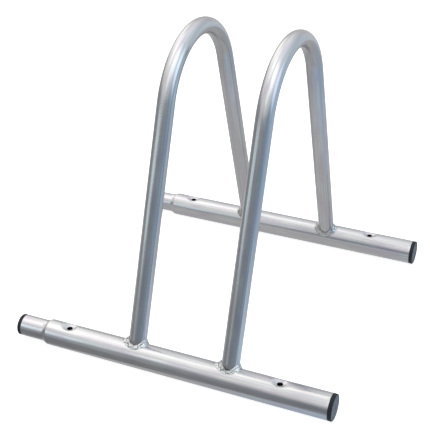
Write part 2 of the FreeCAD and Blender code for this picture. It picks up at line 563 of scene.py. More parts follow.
@dataclass
class GroundRail:
    """One ground rail: a tube swaged to a spigot at its left end, with two dimpled anchor holes."""

    row: Row
    layout: StandLayout
    pattern_offset: float
    wall: float = 3.0 * MM
    swage_length: float = 12.0 * MM
    neck_rounding: float = 16.5 * MM
    shoulder_rounding: float = 5.6 * MM
    dimple_depth: float = 4.8 * MM
    dimple_round_along: float = 15.0 * MM
    dimple_round_across: float = 16.0 * MM
    rim_blend: float = 2.8 * MM
    sag_depth: float = 0.4 * MM
    sag_reach: float = 20.0 * MM
    end_rounding: float = 0.8 * MM
    lip_rounding: float = 0.8 * MM
    # How deep below the outer skin the painted shade in the bore and the holes becomes full
    shade_depth: float = 0.25 * MM
    pressed_reach: float = 44.0 * MM
    end_steps: int = 5
    plain_steps: int = 8
    swage_steps: int = 24
    body_steps: int = 12
    pressed_steps: int = 22
    half_window: int = 6
    sides: int = 96

    def __post_init__(self) -> None:
        """Works out the neck's slope, the stations along the rail and where its hole windows are."""
        layout = self.layout
        self.y = layout.rail_y[self.row]
        self.shoulder_x = layout.neck_x + self.swage_length
        rounding = self.neck_rounding + self.shoulder_rounding
        rise = layout.rail_r - layout.spigot_r
        apart = math.hypot(self.swage_length, rise - rounding)
        self.slope = math.atan2(rise - rounding, self.swage_length) + math.asin(rounding / apart)

        window = self.half_window * math.tau / self.sides * layout.rail_r
        spans = [(layout.spigot_end_x, layout.spigot_end_x + self.end_rounding, self.end_steps)]
        spans.append((spans[-1][1], layout.neck_x, self.plain_steps))
        spans.append((layout.neck_x, self.shoulder_x, self.swage_steps))
        self.windows: list[tuple[int, float]] = []
        for hole_x in layout.anchor_xs:
            if spans[-1][1] < hole_x - self.pressed_reach:
                spans.append((spans[-1][1], hole_x - self.pressed_reach, self.body_steps))
            spans.append((spans[-1][1], hole_x - window, self.pressed_steps))
            self.windows.append((sum(span[2] for span in spans), hole_x))
            spans.append((spans[-1][1], hole_x + window, 2 * self.half_window))
            spans.append((spans[-1][1], hole_x + self.pressed_reach, self.pressed_steps))
        spans.append((spans[-1][1], layout.mouth_x - self.end_rounding, self.plain_steps))
        spans.append((spans[-1][1], layout.mouth_x, self.end_steps))
        self.stations = [spans[0][0]]
        for start, end, count in spans:
            self.stations += [start + (end - start) * (i + 1) / count for i in range(count)]

    def profile_radius(self, x: float) -> float:
        """How far the outer skin is from the axis before the dimples: spigot, cone, body and rounded ends.

        Args:
            x: The place along the rail.

        Returns:
            The radius.
        """
        layout = self.layout
        neck, shoulder = self.neck_rounding, self.shoulder_rounding
        from_neck = x - layout.neck_x
        to_shoulder = self.shoulder_x - x
        if from_neck <= 0:
            radius = layout.spigot_r
        elif to_shoulder <= 0:
            radius = layout.rail_r
        elif from_neck < neck * math.sin(self.slope):
            radius = layout.spigot_r + neck - math.sqrt(neck**2 - from_neck**2)
        elif to_shoulder < shoulder * math.sin(self.slope):
            radius = layout.rail_r - shoulder + math.sqrt(shoulder**2 - to_shoulder**2)
        else:
            up_cone = from_neck - neck * math.sin(self.slope)
            radius = layout.spigot_r + neck * (1 - math.cos(self.slope)) + up_cone * math.tan(self.slope)
        from_end = min(x - layout.spigot_end_x, layout.mouth_x - x)
        short = max(0.0, self.end_rounding - from_end)
        return radius - self.end_rounding + math.sqrt(self.end_rounding**2 - short**2)

    def skin_radius(self, x: float, turn: float, inset: float) -> float:
        """How far a skin is from the axis, with the dimples pressed in and their rims rounded over.

        Args:
            x: The place along the rail.
            turn: The angle round it from the top, in radians.
            inset: How far the skin lies inside the outer one.

        Returns:
            The radius.
        """
        radius = self.profile_radius(x) - inset
        upward = math.cos(turn)
        if upward <= 0:
            return radius
        along, across = self.dimple_round_along + inset, self.dimple_round_across + inset
        for hole_x in self.layout.anchor_xs:
            # The press also lets the tube sag a little all round the dimple
            radius -= self.sag_depth * upward * math.exp(-(((x - hole_x) / self.sag_reach) ** 2))
            # The dimple is a bowl, height = floor + aside² / (2 across), met where this angle points
            floor = self.layout.rail_r - self.dimple_depth - inset + (x - hole_x) ** 2 / (2 * along)
            left = upward**2 - 2 * floor * math.sin(turn) ** 2 / across
            if left <= 0:
                continue
            pressed = 2 * floor / (upward + math.sqrt(left))
            # A smooth minimum of the two radii rounds the rim over
            near = max(0.0, self.rim_blend - abs(radius - pressed)) / self.rim_blend
            radius = min(radius, pressed) - near**2 * self.rim_blend / 4
        return radius

    def on_skin(self, x: float, turn: float, inset: float) -> Vector:
        """The point of a skin at a place along the rail and an angle round it."""
        radius = self.skin_radius(x, turn, inset)
        return Vector((x, self.y + radius * math.sin(turn), self.layout.rail_r + radius * math.cos(turn)))

    def above(self, x: float, aside: float, inset: float, at_top: bool) -> Vector:
        """The point of a skin straight above or below a place on the ground.

        Args:
            x: The place along the rail.
            aside: How far to the side of the axis.
            inset: How far the skin lies inside the outer one.
            at_top: True for the rail's upper half.

        Returns:
            The point.
        """
        settling_steps = 6
        turn = 0.0 if at_top else math.pi
        for _ in range(settling_steps):
            swing = math.asin(aside / self.skin_radius(x, turn, inset))
            turn = swing if at_top else math.pi - swing
        return self.on_skin(x, turn, inset)

    def hole_rings(self, hole_x: float, rim: list[Vector], at_top: bool) -> list[list[Vector]]:
        """Rings of points from a window's rim down the lip and wall of its hole, and out to the inner rim.

        Args:
            hole_x: Where the hole is along the rail.
            rim: The outer skin's points round the window.
            at_top: True for the hole in the rail's upper wall.

        Returns:
            The rings between the two rims, from outside to inside.
        """
        outer_steps = 7
        lip_steps = 5
        inner_steps = 4
        up = 1 if at_top else -1
        hole_r = self.layout.anchor_r
        offsets = [Vector((point.x - hole_x, point.y - self.y)) for point in rim]
        rays = [offset.normalized() for offset in offsets]

        def spread(share: float, inner_r: float, inset: float) -> list[Vector]:
            """A ring on a skin, part of the way from a circle round the hole to the window's rim."""
            flat = [ray * inner_r * (1 - share) + offset * share for ray, offset in zip(rays, offsets)]
            return [self.above(hole_x + place.x, place.y, inset, at_top) for place in flat]

        lip_r = hole_r + self.lip_rounding
        rings = [spread(1 - (i + 1) / outer_steps, lip_r, 0) for i in range(outer_steps)]
        lip_start = rings[-1]
        for i in range(lip_steps):
            tilt = math.pi / 2 * (i + 1) / lip_steps
            radius = lip_r - self.lip_rounding * math.sin(tilt)
            drop = self.lip_rounding * (1 - math.cos(tilt)) * up
            ring = []
            for ray, start in zip(rays, lip_start):
                ring.append(Vector((hole_x + ray.x * radius, self.y + ray.y * radius, start.z - drop)))
            rings.append(ring)
        rings += [spread(i / inner_steps, hole_r, self.wall) for i in range(inner_steps)]
        return rings

    def build(self, material: bpy.types.Material) -> bpy.types.Object:
        """Makes the rail's tube as one closed mesh.

        Args:
            material: Its finish.

        Returns:
            The rail's object.
        """
        points: list[Vector] = []
        faces: list[tuple[int, ...]] = []

        def add_points(new: list[Vector]) -> list[int]:
            """Adds points and gives their numbers."""
            points.extend(new)
            return list(range(len(points) - len(new), len(points)))

        def skin(inset: float) -> list[list[int]]:
            """Adds a skin's points, ring by ring."""
            turns = [math.tau * side / self.sides for side in range(self.sides)]
            return [add_points([self.on_skin(x, turn, inset) for turn in turns]) for x in self.stations]

        def strip(ring: list[int], after: list[int]) -> None:
            """Adds the faces between two closed rings."""
            faces.extend(zip(ring, ring[1:] + ring[:1], after[1:] + after[:1], after))

        outer = skin(0)
        inner = skin(self.wall)
        across = range(-self.half_window, self.half_window)
        open_cells = set()
        for first, hole_x in self.windows:
            last = first + 2 * self.half_window
            for middle in (0, self.sides // 2):
                open_cells |= {(i, (middle + j) % self.sides) for i in range(first, last) for j in across}
                low = (middle - self.half_window) % self.sides
                high = (middle + self.half_window) % self.sides
                rim = [(i, low) for i in range(first, last)]
                rim += [(last, (middle + j) % self.sides) for j in across]
                rim += [(i, high) for i in range(last, first, -1)]
                rim += [(first, (middle - j) % self.sides) for j in across]
                rings = [[outer[i][j] for i, j in rim]]
                for ring in self.hole_rings(hole_x, [points[n] for n in rings[0]], middle == 0):
                    rings.append(add_points(ring))
                rings.append([inner[i][j] for i, j in rim])
                for ring, after in zip(rings, rings[1:]):
                    strip(ring, after)
        for i in range(len(self.stations) - 1):
            for j in range(self.sides):
                if (i, j) in open_cells:
                    continue
                k = (j + 1) % self.sides
                faces.append((outer[i][j], outer[i + 1][j], outer[i + 1][k], outer[i][k]))
                faces.append((inner[i][k], inner[i + 1][k], inner[i + 1][j], inner[i][j]))
        strip(outer[0], inner[0])
        strip(inner[-1], outer[-1])

        mesh = new_mesh(f"{self.row.value}_rail_tube", points, faces)
        axis = Vector((-self.pattern_offset, self.y, self.layout.rail_r))
        arms = [point - axis for point in points]
        # Points below the outer skin, in the bore and down the holes, get painted shade
        painted_shade_share = []
        for point, arm in zip(points, arms):
            deep = self.skin_radius(point.x, math.atan2(arm.y, arm.z), 0) - math.hypot(arm.y, arm.z)
            painted_shade_share.append(min(max(deep / self.shade_depth, 0), 1))
        carry(mesh, TUBE_SPACE, arms)
        carry(mesh, PAINTED_SHADE, painted_shade_share)
        mesh.materials.append(material)
        rail = new_object(mesh.name, mesh)
        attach(rail, WELDED_FRAME)
        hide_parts(f"{self.row.value}_rail")
        return rail


@dataclass
class LegLine:
    """The centre line of a hoop's legs, worked out from where they stand and what they have to reach."""

    layout: StandLayout
    bend_radius: float = 114.0 * MM

    def __post_init__(self) -> None:
        """Works out the bend's centre and the lean of a leg that touches the bend."""
        foot_y = self.layout.rail_y[Row.FRONT]
        self.foot_z = self.layout.rail_r
        self.bend_z = self.layout.hoop_top - self.layout.hoop_r - self.bend_radius
        reach = math.hypot(foot_y, self.bend_z - self.foot_z)
        self.lean = math.atan2(-foot_y, self.bend_z - self.foot_z) - math.asin(self.bend_radius / reach)
        self.length = math.sqrt(reach**2 - self.bend_radius**2)

    def up(self, row: Row) -> Vector:
        """The way up the leg that stands on a row's rail."""
        inward = 1 if row is Row.FRONT else -1
        return Vector((0, inward * math.sin(self.lean), math.cos(self.lean)))

    def foot(self, x: float, row: Row) -> Vector:
        """Where a leg's centre line meets its rail's."""
        return Vector((x, self.layout.rail_y[row], self.foot_z))


@dataclass
class Hoop:
    """One hoop: a tube bent over, with its two feet coped to sit on the rails."""

    side: Side
    layout: StandLayout
    line: LegLine
    pattern_offset: float
    wall: float = 2.5 * MM
    cope_reach: float = 40.0 * MM
    flattening: float = 0.035
    flattening_ramp: float = 30.0 * MM
    clamp_mark_depth: float = 0.35 * MM
    clamp_mark_width: float = 5.0 * MM
    bend_shade: float = 0.17
    bend_shade_ramp: float = 90.0 * MM
    bend_shade_blend: float = 8.0 * MM
    leg_steps: int = 36
    bend_steps: int = 72
    sides: int = 96

    def centre_line(self) -> bpy.types.Mesh:
        """Makes the centre line from the front foot over the bend to the rear foot.

        Returns:
            A mesh of edges from crest to crest of the rails. Each point carries its place, its distance
            along the tube, the way up its leg, the way to the inside of the bend, how far the tube there is
            coped, narrowed and marked by the bending tool's clamp, and how much painted shade darkens its
            inside.
        """
        x = self.layout.hoop_x[self.side]
        start = self.layout.rail_r
        leg = self.line.length - start
        bend_sweep = math.pi - 2 * self.line.lean
        whole = 2 * leg + bend_sweep * self.line.bend_radius
        stations: list[dict[str, Any]] = []
        for step in range(2 * self.leg_steps + self.bend_steps + 1):
            in_bend = min(max(step - self.leg_steps, 0), self.bend_steps) / self.bend_steps
            on_front = min(step, self.leg_steps) / self.leg_steps
            on_rear = max(0, step - self.leg_steps - self.bend_steps) / self.leg_steps
            along = leg * (on_front + on_rear) + bend_sweep * self.line.bend_radius * in_bend
            from_foot = min(along, whole - along)
            row = Row.FRONT if along < whole / 2 else Row.REAR
            up = self.line.up(row)
            turn = self.line.lean + bend_sweep * in_bend
            outward = Vector((0, -math.cos(turn), math.sin(turn)))
            if from_foot < leg:
                centre = self.line.foot(x, row) + up * (start + from_foot)
            else:
                centre = Vector((x, 0, self.line.bend_z)) + outward * self.line.bend_radius
            # The tube narrows on both sides of the bend's start, and the painted shade on its inside grows
            # up to it
            past_leg = from_foot - leg
            from_mark = (past_leg - self.flattening_ramp / 2) / self.clamp_mark_width
            station = {
                "centre": centre,
                "along": along + self.pattern_offset,
                "up": up,
                "inward": -outward,
                "cope": max(0.0, 1 - from_foot / self.cope_reach),
                "narrow": self.flattening * eased(past_leg / self.flattening_ramp + 0.5),
                "mark": self.clamp_mark_depth * math.exp(-(from_mark**2)) / self.layout.hoop_r,
                "thin": self.bend_shade * eased(past_leg / self.bend_shade_ramp + 1),
            }
            stations.append(station)
        points = [station["centre"] for station in stations]
        edges = [(i, i + 1) for i in range(len(points) - 1)]
        mesh = new_mesh(f"{self.side.value}_hoop_tube", points, [], edges)
        for name in stations[0]:
            carry(mesh, name, [station[name] for station in stations])
        return mesh

    @staticmethod
    def tree() -> ShapeTree:
        """Makes the tree that draws a tube along a centre line, copes its ends and bends it out of round.

        Returns:
            The tree.
        """
        sizes = dict.fromkeys(("Tube Radius", "Rail Radius", "Plating Blend"), "Float")
        shape = ShapeTree("bent_tube", sizes | {"Sides": "Int"})
        tree, inputs = shape.tree, shape.inputs
        curve = add_node(tree, "GeometryNodeMeshToCurve", {"Mesh": inputs["Geometry"]})
        feeds = {"Resolution": inputs["Sides"], "Radius": inputs["Tube Radius"]}
        circle = add_node(tree, "GeometryNodeCurvePrimitiveCircle", feeds)
        tube = add_node(tree, "GeometryNodeCurveToMesh", {"Curve": curve, "Profile Curve": circle})
        vectors = ("centre", "up", "inward")
        numbers = ("along", "cope", "narrow", "mark", "thin")
        kinds = dict.fromkeys(vectors, "FLOAT_VECTOR") | dict.fromkeys(numbers, "FLOAT")
        carried = {name: add_node(tree, ATTRIBUTE, {"Name": name}, data_type=kinds[name]) for name in kinds}

        # Each point of the tube by its distance across the bend and towards the inside of it
        place = add_node(tree, "GeometryNodeInputPosition")
        arm = add_node(tree, VECTOR_MATH, {0: place, 1: carried["centre"]}, operation="SUBTRACT")
        across = add_node(tree, VECTOR_MATH, {0: arm, 1: (1.0, 0.0, 0.0)}, operation="DOT_PRODUCT")
        inside = add_node(tree, VECTOR_MATH, {0: arm, 1: carried["inward"]}, operation="DOT_PRODUCT")

        # The cope: a foot drops from the rail's crest down its flank
        squares = [
            add_node(tree, MATH, {0: side, 1: side}, operation="MULTIPLY")
            for side in (inputs["Rail Radius"], inside)
        ]
        flank = add_node(tree, MATH, dict(enumerate(squares)), operation="SUBTRACT")
        height = add_node(tree, MATH, {0: flank}, operation="SQRT")
        drop = add_node(tree, MATH, {0: height, 1: inputs["Rail Radius"]}, operation="SUBTRACT")
        coped = add_node(tree, MATH, {0: drop, 1: carried["cope"]}, operation="MULTIPLY")
        slide = add_node(tree, VECTOR_MATH, {0: carried["up"], "Scale": coped}, operation="SCALE")

        # The bend: the tube gets narrower in the bend's plane, and the clamp marks its inside
        inner_half = add_node(tree, MATH, {0: inside, 1: 0.0}, operation="MAXIMUM")
        marked = add_node(tree, MATH, {0: inner_half, 1: carried["mark"]}, operation="MULTIPLY")
        narrowed = add_node(tree, MATH, {0: inside, 1: carried["narrow"]}, operation="MULTIPLY")
        pinch = add_node(tree, MATH, {0: marked, 1: narrowed}, operation="ADD")
        squeeze = add_node(tree, VECTOR_MATH, {0: carried["inward"], "Scale": pinch}, operation="SCALE")
        shift = add_node(tree, VECTOR_MATH, {0: slide, 1: squeeze}, operation="SUBTRACT")
        moved = add_node(tree, "GeometryNodeSetPosition", {"Geometry": tube, "Offset": shift})

        straight = add_node(tree, "ShaderNodeCombineXYZ", {"X": carried["along"], "Y": across, "Z": inside})
        feeds = {"Geometry": moved, "Name": TUBE_SPACE, "Value": straight}
        stored = add_node(tree, "GeometryNodeStoreNamedAttribute", feeds, data_type="FLOAT_VECTOR")
        # Painted shade darkens the inside of the bend
        blend = add_node(tree, MATH, {0: inside, 1: inputs["Plating Blend"]}, operation="DIVIDE")
        inner = add_node(tree, MATH, {0: blend, 1: 0.5}, operation="ADD", use_clamp=True)
        thin = add_node(tree, MATH, {0: inner, 1: carried["thin"]}, operation="MULTIPLY")
        feeds = {"Geometry": stored, "Name": PAINTED_SHADE, "Value": thin}
        bend_shaded = add_node(tree, "GeometryNodeStoreNamedAttribute", feeds)
        shape.end(add_node(tree, "GeometryNodeSetShadeSmooth", {"Geometry": bend_shaded}))
        return shape

    def build(self, shape: ShapeTree, material: bpy.types.Material) -> bpy.types.Object:
        """Makes the hoop's tube, with its wall.

        Args:
            shape: The tree from tree().
            material: Its finish.

        Returns:
            The hoop's object.
        """
        line = self.centre_line()
        carried = [attribute.name for attribute in line.attributes if not attribute.is_required]
        hoop = new_object(line.name, line)
        values = {
            "Tube Radius": self.layout.hoop_r,
            "Rail Radius": self.layout.rail_r,
            "Plating Blend": self.bend_shade_blend,
            "Sides": self.sides,
            "Material": material,
        }
        shape.put_on(hoop, values)
        wall = hoop.modifiers.new("wall", "SOLIDIFY")
        wall.thickness = self.wall
        wall.offset = -1
        settle(hoop)
        drop_attributes(hoop, carried)
        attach(hoop, WELDED_FRAME)
        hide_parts(f"{self.side.value}_hoop")
        return hoop


@dataclass
class WeldBead:
    """The fillet bead round one foot: a hollow face from leg to rail, with passes, ripples and painted
    shade in its creases.
    """

    row: Row
    side: Side
    layout: StandLayout
    line: LegLine
    seed: int
    toe_at_sides: float = 7.4 * MM
    toe_at_faces: float = 2.6 * MM
    climb_at_sides: float = 8.5 * MM
    climb_at_faces: float = 4.2 * MM
    hollow_at_sides: float = 0.45
    hollow_at_faces: float = 0.3
    seat: float = 0.05 * MM
    ripple_count: int = 44
    ripple_height: float = 0.22 * MM
    ripple_bow: float = 2.2
    pass_count: float = 1.7
    pass_height: float = 0.7 * MM
    pass_spiral: int = 2
    wander: float = 3.0
    wander_size: float = 9.0 * MM
    steps_round: int = 408
    steps_across: int = 20
    steps_under: int = 3
    TOE_DRIFT: ClassVar[dict[Row, float]] = {Row.FRONT: 2.6 * MM, Row.REAR: 0.4 * MM}
    # How dark the painted shade in the crease along the leg is, for each row
    LEG_CREASE_SHADE: ClassVar[dict[Row, float]] = {Row.FRONT: 1.0, Row.REAR: 0.25}

    def on_rail(self, turn: float, leg_r: float) -> Vector:
        """The point of the rail's skin that a leg of some radius would meet.

        Args:
            turn: The angle round the leg, in radians.
            leg_r: The leg's radius.

        Returns:
            The point.
        """
        up = self.line.up(self.row)
        beside = up.cross(Vector((1, 0, 0)))
        rail_r = self.layout.rail_r - self.seat
        inside = leg_r * math.sin(turn)
        height = math.sqrt(rail_r**2 - inside**2)
        foot = self.line.foot(self.layout.hoop_x[self.side], self.row)
        return foot + Vector((leg_r * math.cos(turn), 0, 0)) + beside * inside + up * height

    def section(self, turn: float) -> tuple[list[Vector], list[float]]:
        """The bead's closed section at an angle round the leg.

        Args:
            turn: The angle, in radians.

        Returns:
            Its points, across the face from the leg to the rail and back along both tubes, and for each the
            share of the face that it lies at, which is 0 along the tubes.
        """
        at_sides = math.cos(turn) ** 2
        toe = self.toe_at_faces + (self.toe_at_sides - self.toe_at_faces) * at_sides
        toe -= self.TOE_DRIFT[self.row] * math.cos(turn) * at_sides
        climb = self.climb_at_faces + (self.climb_at_sides - self.climb_at_faces) * at_sides
        hollow = self.hollow_at_faces + (self.hollow_at_sides - self.hollow_at_faces) * at_sides
        leg_r = self.layout.hoop_r - self.seat
        root = self.on_rail(turn, leg_r)
        top = root + self.line.up(self.row) * climb
        bottom = self.on_rail(turn, leg_r + toe)
        middle = (top + bottom) / 2
        pull = middle + (root - middle) * hollow
        points = []
        shares = []
        for step in range(self.steps_across + 1):
            share = step / self.steps_across
            rest = 1 - share
            points.append(top * rest**2 + pull * (2 * share * rest) + bottom * share**2)
            shares.append(share)
        for step in range(1, self.steps_under + 1):
            points.append(self.on_rail(turn, leg_r + toe * (1 - step / self.steps_under)))
            shares.append(0.0)
        return points, shares

    def base_mesh(self) -> bpy.types.Mesh:
        """Makes the bead without its passes and ripples.

        Returns:
            A closed ring whose points carry the share of the way round the leg, the share of the way across
            the bead's face, and the way out of the bead.
        """
        points: list[Vector] = []
        laps: list[float] = []
        spans: list[float] = []
        ways: list[Vector] = []
        sideways = Vector((1, 0, 0))
        beside = self.line.up(self.row).cross(sideways)
        for step in range(self.steps_round):
            lap = step / self.steps_round
            turn = math.tau * lap
            section, shares = self.section(turn)
            across = (section[self.steps_across] - section[0]).normalized()
            round_leg = sideways * -math.sin(turn) + beside * math.cos(turn)
            points += section
            spans += shares
            laps += [lap] * len(section)
            ways += [across.cross(round_leg).normalized()] * len(section)
        size = len(points) // self.steps_round
        faces = []
        for step in range(self.steps_round):
            first = step * size
            after = (step + 1) % self.steps_round * size
            for i in range(size):
                j = (i + 1) % size
                faces.append((first + i, first + j, after + j, after + i))
        mesh = new_mesh(f"bead_{self.row.value}_{self.side.value}", points, faces)
        for name, values in (("lap", laps), ("span", spans), ("outward", ways)):
            carry(mesh, name, values)
        return mesh

    @staticmethod
    def tree() -> ShapeTree:
        """Makes the tree that raises weld passes and ripples on a bead, uneven as a welder leaves them, and
        stores the painted shade for its valleys and the crease along the leg.

        Returns:
            The tree.
        """
        ripples = {"Ripple Count": "Int", "Ripple Height": "Float", "Ripple Bow": "Float"}
        passes = {"Pass Count": "Float", "Pass Height": "Float", "Pass Spiral": "Int"}
        uneven = {"Wander": "Float", "Wander Size": "Float", "Crease Soot": "Float", "Seed": "Int"}
        shape = ShapeTree("weld_passes", ripples | passes | uneven)
        tree, inputs = shape.tree, shape.inputs
        lap = add_node(tree, ATTRIBUTE, {"Name": "lap"}, data_type="FLOAT")
        span = add_node(tree, ATTRIBUTE, {"Name": "span"}, data_type="FLOAT")
        outward = add_node(tree, ATTRIBUTE, {"Name": "outward"}, data_type="FLOAT_VECTOR")
        finest = add_node(tree, MATH, {0: 1.0, 1: inputs["Wander Size"]}, operation="DIVIDE")
        place = add_node(tree, "GeometryNodeInputPosition")
        feeds = {"Vector": place, "Scale": finest, "W": inputs["Seed"], "Detail": 1.0}
        chance = add_node(tree, NOISE, feeds, noise_dimensions="4D")
        wander = add_node(tree, MATH, {0: chance, 1: inputs["Wander"]}, operation="MULTIPLY")

        # A ripple crosses the bead as a crescent, whose middle runs ahead of its ends
        rest = add_node(tree, MATH, {0: 1.0, 1: span}, operation="SUBTRACT")
        crown = add_node(tree, MATH, {0: span, 1: rest}, operation="MULTIPLY")
        feeds = {0: crown, 1: inputs["Ripple Bow"], 2: wander}
        ahead = add_node(tree, MATH, feeds, operation="MULTIPLY_ADD")
        feeds = {0: lap, 1: inputs["Ripple Count"], 2: ahead}
        ripple_phase = add_node(tree, MATH, feeds, operation="MULTIPLY_ADD")
        # A pass runs along the bead and drifts across it on its way round
        feeds = {0: lap, 1: inputs["Pass Spiral"], 2: wander}
        drift = add_node(tree, MATH, feeds, operation="MULTIPLY_ADD")
        feeds = {0: span, 1: inputs["Pass Count"], 2: drift}
        pass_phase = add_node(tree, MATH, feeds, operation="MULTIPLY_ADD")

        # Both are rounded crests with sharp valleys between them, which run out at the bead's toes. A crest
        # is a quarter times a quarter before it is brought to full size
        full_size = 16.0
        scallops = []
        lifts = []
        phases = ((ripple_phase, inputs["Ripple Height"]), (pass_phase, inputs["Pass Height"]))
        for phase, height in phases:
            share = add_node(tree, MATH, {0: phase}, operation="FRACT")
            other = add_node(tree, MATH, {0: 1.0, 1: share}, operation="SUBTRACT")
            scallop = add_node(tree, MATH, {0: share, 1: other}, operation="MULTIPLY")
            faded = add_node(tree, MATH, {0: scallop, 1: crown}, operation="MULTIPLY")
            tall = add_node(tree, MATH, {0: height, 1: full_size}, operation="MULTIPLY")
            scallops.append(scallop)
            lifts.append(add_node(tree, MATH, {0: faded, 1: tall}, operation="MULTIPLY"))
        lift = add_node(tree, MATH, dict(enumerate(lifts)), operation="ADD")
        offset = add_node(tree, VECTOR_MATH, {0: outward, "Scale": lift}, operation="SCALE")

        # Painted shade lies in patches in the valleys between the passes, and along the crease at the leg's
        # front and back
        shade_patch_fineness = 1.8
        finer = add_node(tree, MATH, {0: finest, 1: shade_patch_fineness}, operation="MULTIPLY")
        feeds = {"Vector": place, "Scale": finer, "W": inputs["Seed"], "Detail": 1.0}
        shade_noise = add_node(tree, NOISE, feeds, noise_dimensions="4D")
        shade_noise_limits: Limits = {"From Min": 0.42, "From Max": 0.62}
        valley_limits: Limits = {"From Min": 0.17, "From Max": 0.02}
        leg_limits: Limits = {"From Min": 0.5, "From Max": 0.1}
        chance_limits: Limits = {"From Min": 0.35, "From Max": 0.6}
        crease_shading = add_node(tree, MAP_RANGE, {"Value": shade_noise} | shade_noise_limits)
        between, by_leg = (
            add_node(tree, MAP_RANGE, {"Value": value} | limits, interpolation_type="SMOOTHSTEP")
            for value, limits in ((scallops[1], valley_limits), (span, leg_limits))
        )
        valley = add_node(tree, MATH, {0: between, 1: crease_shading}, operation="MULTIPLY")
        turn = add_node(tree, MATH, {0: lap, 1: math.tau}, operation="MULTIPLY")
        aside = add_node(tree, MATH, {0: turn}, operation="SINE")
        at_faces = add_node(tree, MATH, {0: aside, 1: aside}, operation="MULTIPLY")
        feeds = {"Value": chance, "To Max": inputs["Crease Soot"]}
        patchy = add_node(tree, MAP_RANGE, feeds | chance_limits)
        here = add_node(tree, MATH, {0: at_faces, 1: patchy}, operation="MULTIPLY")
        crease = add_node(tree, MATH, {0: by_leg, 1: here}, operation="MULTIPLY")
        soot = add_node(tree, MATH, {0: valley, 1: crease}, operation="MAXIMUM")
        feeds = {"Geometry": inputs["Geometry"], "Name": CREASE_SHADE, "Value": soot}
        shaded_bead = add_node(tree, "GeometryNodeStoreNamedAttribute", feeds, data_type="FLOAT")
        raised = add_node(tree, "GeometryNodeSetPosition", {"Geometry": shaded_bead, "Offset": offset})
        shape.end(add_node(tree, "GeometryNodeSetShadeSmooth", {"Geometry": raised}))
        return shape

    def build(self, shape: ShapeTree, material: bpy.types.Material) -> bpy.types.Object:
        """Makes the bead.

        Args:
            shape: The tree from tree().
            material: Its finish.

        Returns:
            The bead's object.
        """
        sharp_edge = math.radians(60)
        mesh = self.base_mesh()
        bead = new_object(mesh.name, mesh)
        values = {
            "Ripple Count": self.ripple_count,
            "Ripple Height": self.ripple_height,
            "Ripple Bow": self.ripple_bow,
            "Pass Count": self.pass_count,
            "Pass Height": self.pass_height,
            "Pass Spiral": self.pass_spiral,
            "Wander": self.wander,
            "Wander Size": self.wander_size,
            "Crease Soot": self.LEG_CREASE_SHADE[self.row],
            "Seed": self.seed,
            "Material": material,
        }
        shape.put_on(bead, values)
        settle(bead)
        drop_attributes(bead, ("lap", "span", "outward"))
        bead.data.set_sharp_from_angle(angle=sharp_edge)
        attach(bead, WELDED_FRAME)
        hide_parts(f"weld_{self.row.value}_{self.side.value}")
        return bead


